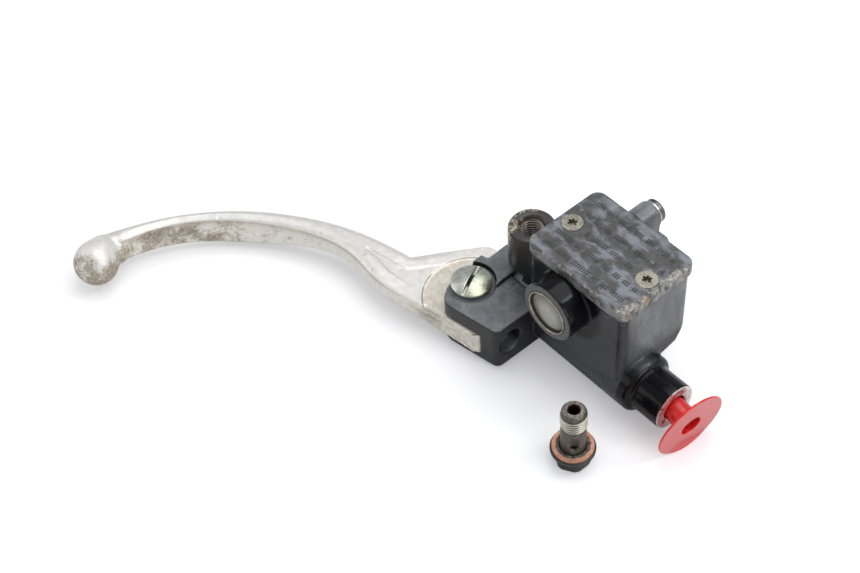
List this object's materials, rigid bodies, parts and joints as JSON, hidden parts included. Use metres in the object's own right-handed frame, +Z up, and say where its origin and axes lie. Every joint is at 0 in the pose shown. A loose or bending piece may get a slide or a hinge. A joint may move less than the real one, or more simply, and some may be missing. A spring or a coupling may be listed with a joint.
{
  "type": "motorcycle brake master cylinder",
  "caption": "Front brake master cylinder with a square fluid reservoir, round sight glass, finger lever in a fork, mirror boss, handlebar clamp, capped outlet and a loose hose bolt.",
  "frame": {"origin": "centre of the handlebar clamp, on the axis of the handlebar", "axes": "+X along the handlebar toward the hose outlet, +Y toward the rider, +Z up, square to the reservoir lid"},
  "size_m": [0.2201, 0.167, 0.0592],
  "materials": {
    "body_paint": "satin",
    "lid_paint": "worn satin",
    "nickel_screws": "dull, dirty",
    "black_rubber": "matt",
    "plate_plastic": "moulded",
    "zinc_steel": "zinc plated",
    "sight_window": "clear, domed",
    "ring_steel": "satin",
    "reflector_plastic": "white",
    "piston_alloy": "anodised",
    "spring_steel": "drawn",
    "lever_alloy": "cast and polished, grimy",
    "bush_brass": "turned",
    "zinc_screw": "zinc plated",
    "dark_steel": "blackened, rusty",
    "red_plastic": "soft, glossy",
    "copper": "annealed copper"
  },
  "bodies": {
    "body": {"cylinder_body": "body_paint", "reservoir_lid": "lid_paint", "lid_screws": "nickel_screws", "diaphragm": "black_rubber", "diaphragm_plate": "plate_plastic", "port_baffle": "zinc_steel", "sight_seal": "black_rubber", "sight_glass": "sight_window", "sight_ring": "ring_steel", "sight_reflector": "reflector_plastic", "piston_washer": "zinc_steel", "circlip": "spring_steel", "dust_boot": "black_rubber", "pivot_screw": "zinc_screw", "pivot_washer": "dark_steel", "pivot_nut": "zinc_steel", "clamp_cap": "body_paint", "clamp_bolts": "zinc_screw", "clamp_washers": "zinc_steel", "return_spring": "spring_steel"},
    "lever": {"lever": "lever_alloy", "lever_bush": "bush_brass"},
    "piston": {"piston": "piston_alloy", "secondary_cup": "black_rubber", "primary_cup": "black_rubber", "spring_seat": "zinc_steel"},
    "plug": {"outlet_plug": "red_plastic"},
    "hose_bolt": {"banjo_bolt": "dark_steel"},
    "hose_washer": {"banjo_washer": "copper"}
  },
  "joints": [
    {"name": "lever_pivot", "type": "hinge", "parent": "body", "child": "lever", "pos_m": [-0.0299, -0.053, -0.0115], "axis": [0, 0, -1], "range_deg": [0, 22]},
    {"name": "piston_slide", "type": "slide", "parent": "body", "child": "piston", "axis": [1, 0, 0], "range_m": [0, 0.00718], "deforming": ["return_spring"]},
    {"name": "plug_pull", "type": "slide", "parent": "body", "child": "plug", "axis": [0.988, -0.0951, -0.1219], "range_m": [0, 0.02]},
    {"name": "hose_bolt_lift", "type": "slide", "parent": "body", "child": "hose_bolt", "axis": [0, 0, 1], "range_m": [0, 0.02]},
    {"name": "washer_lift", "type": "slide", "parent": "hose_bolt", "child": "hose_washer", "axis": [0, 0, 1], "range_m": [0, 0.03]}
  ],
  "couplings": [
    {"joint": "piston_slide", "follows": "lever_pivot", "m_per_rad": 0.018685}
  ]
}
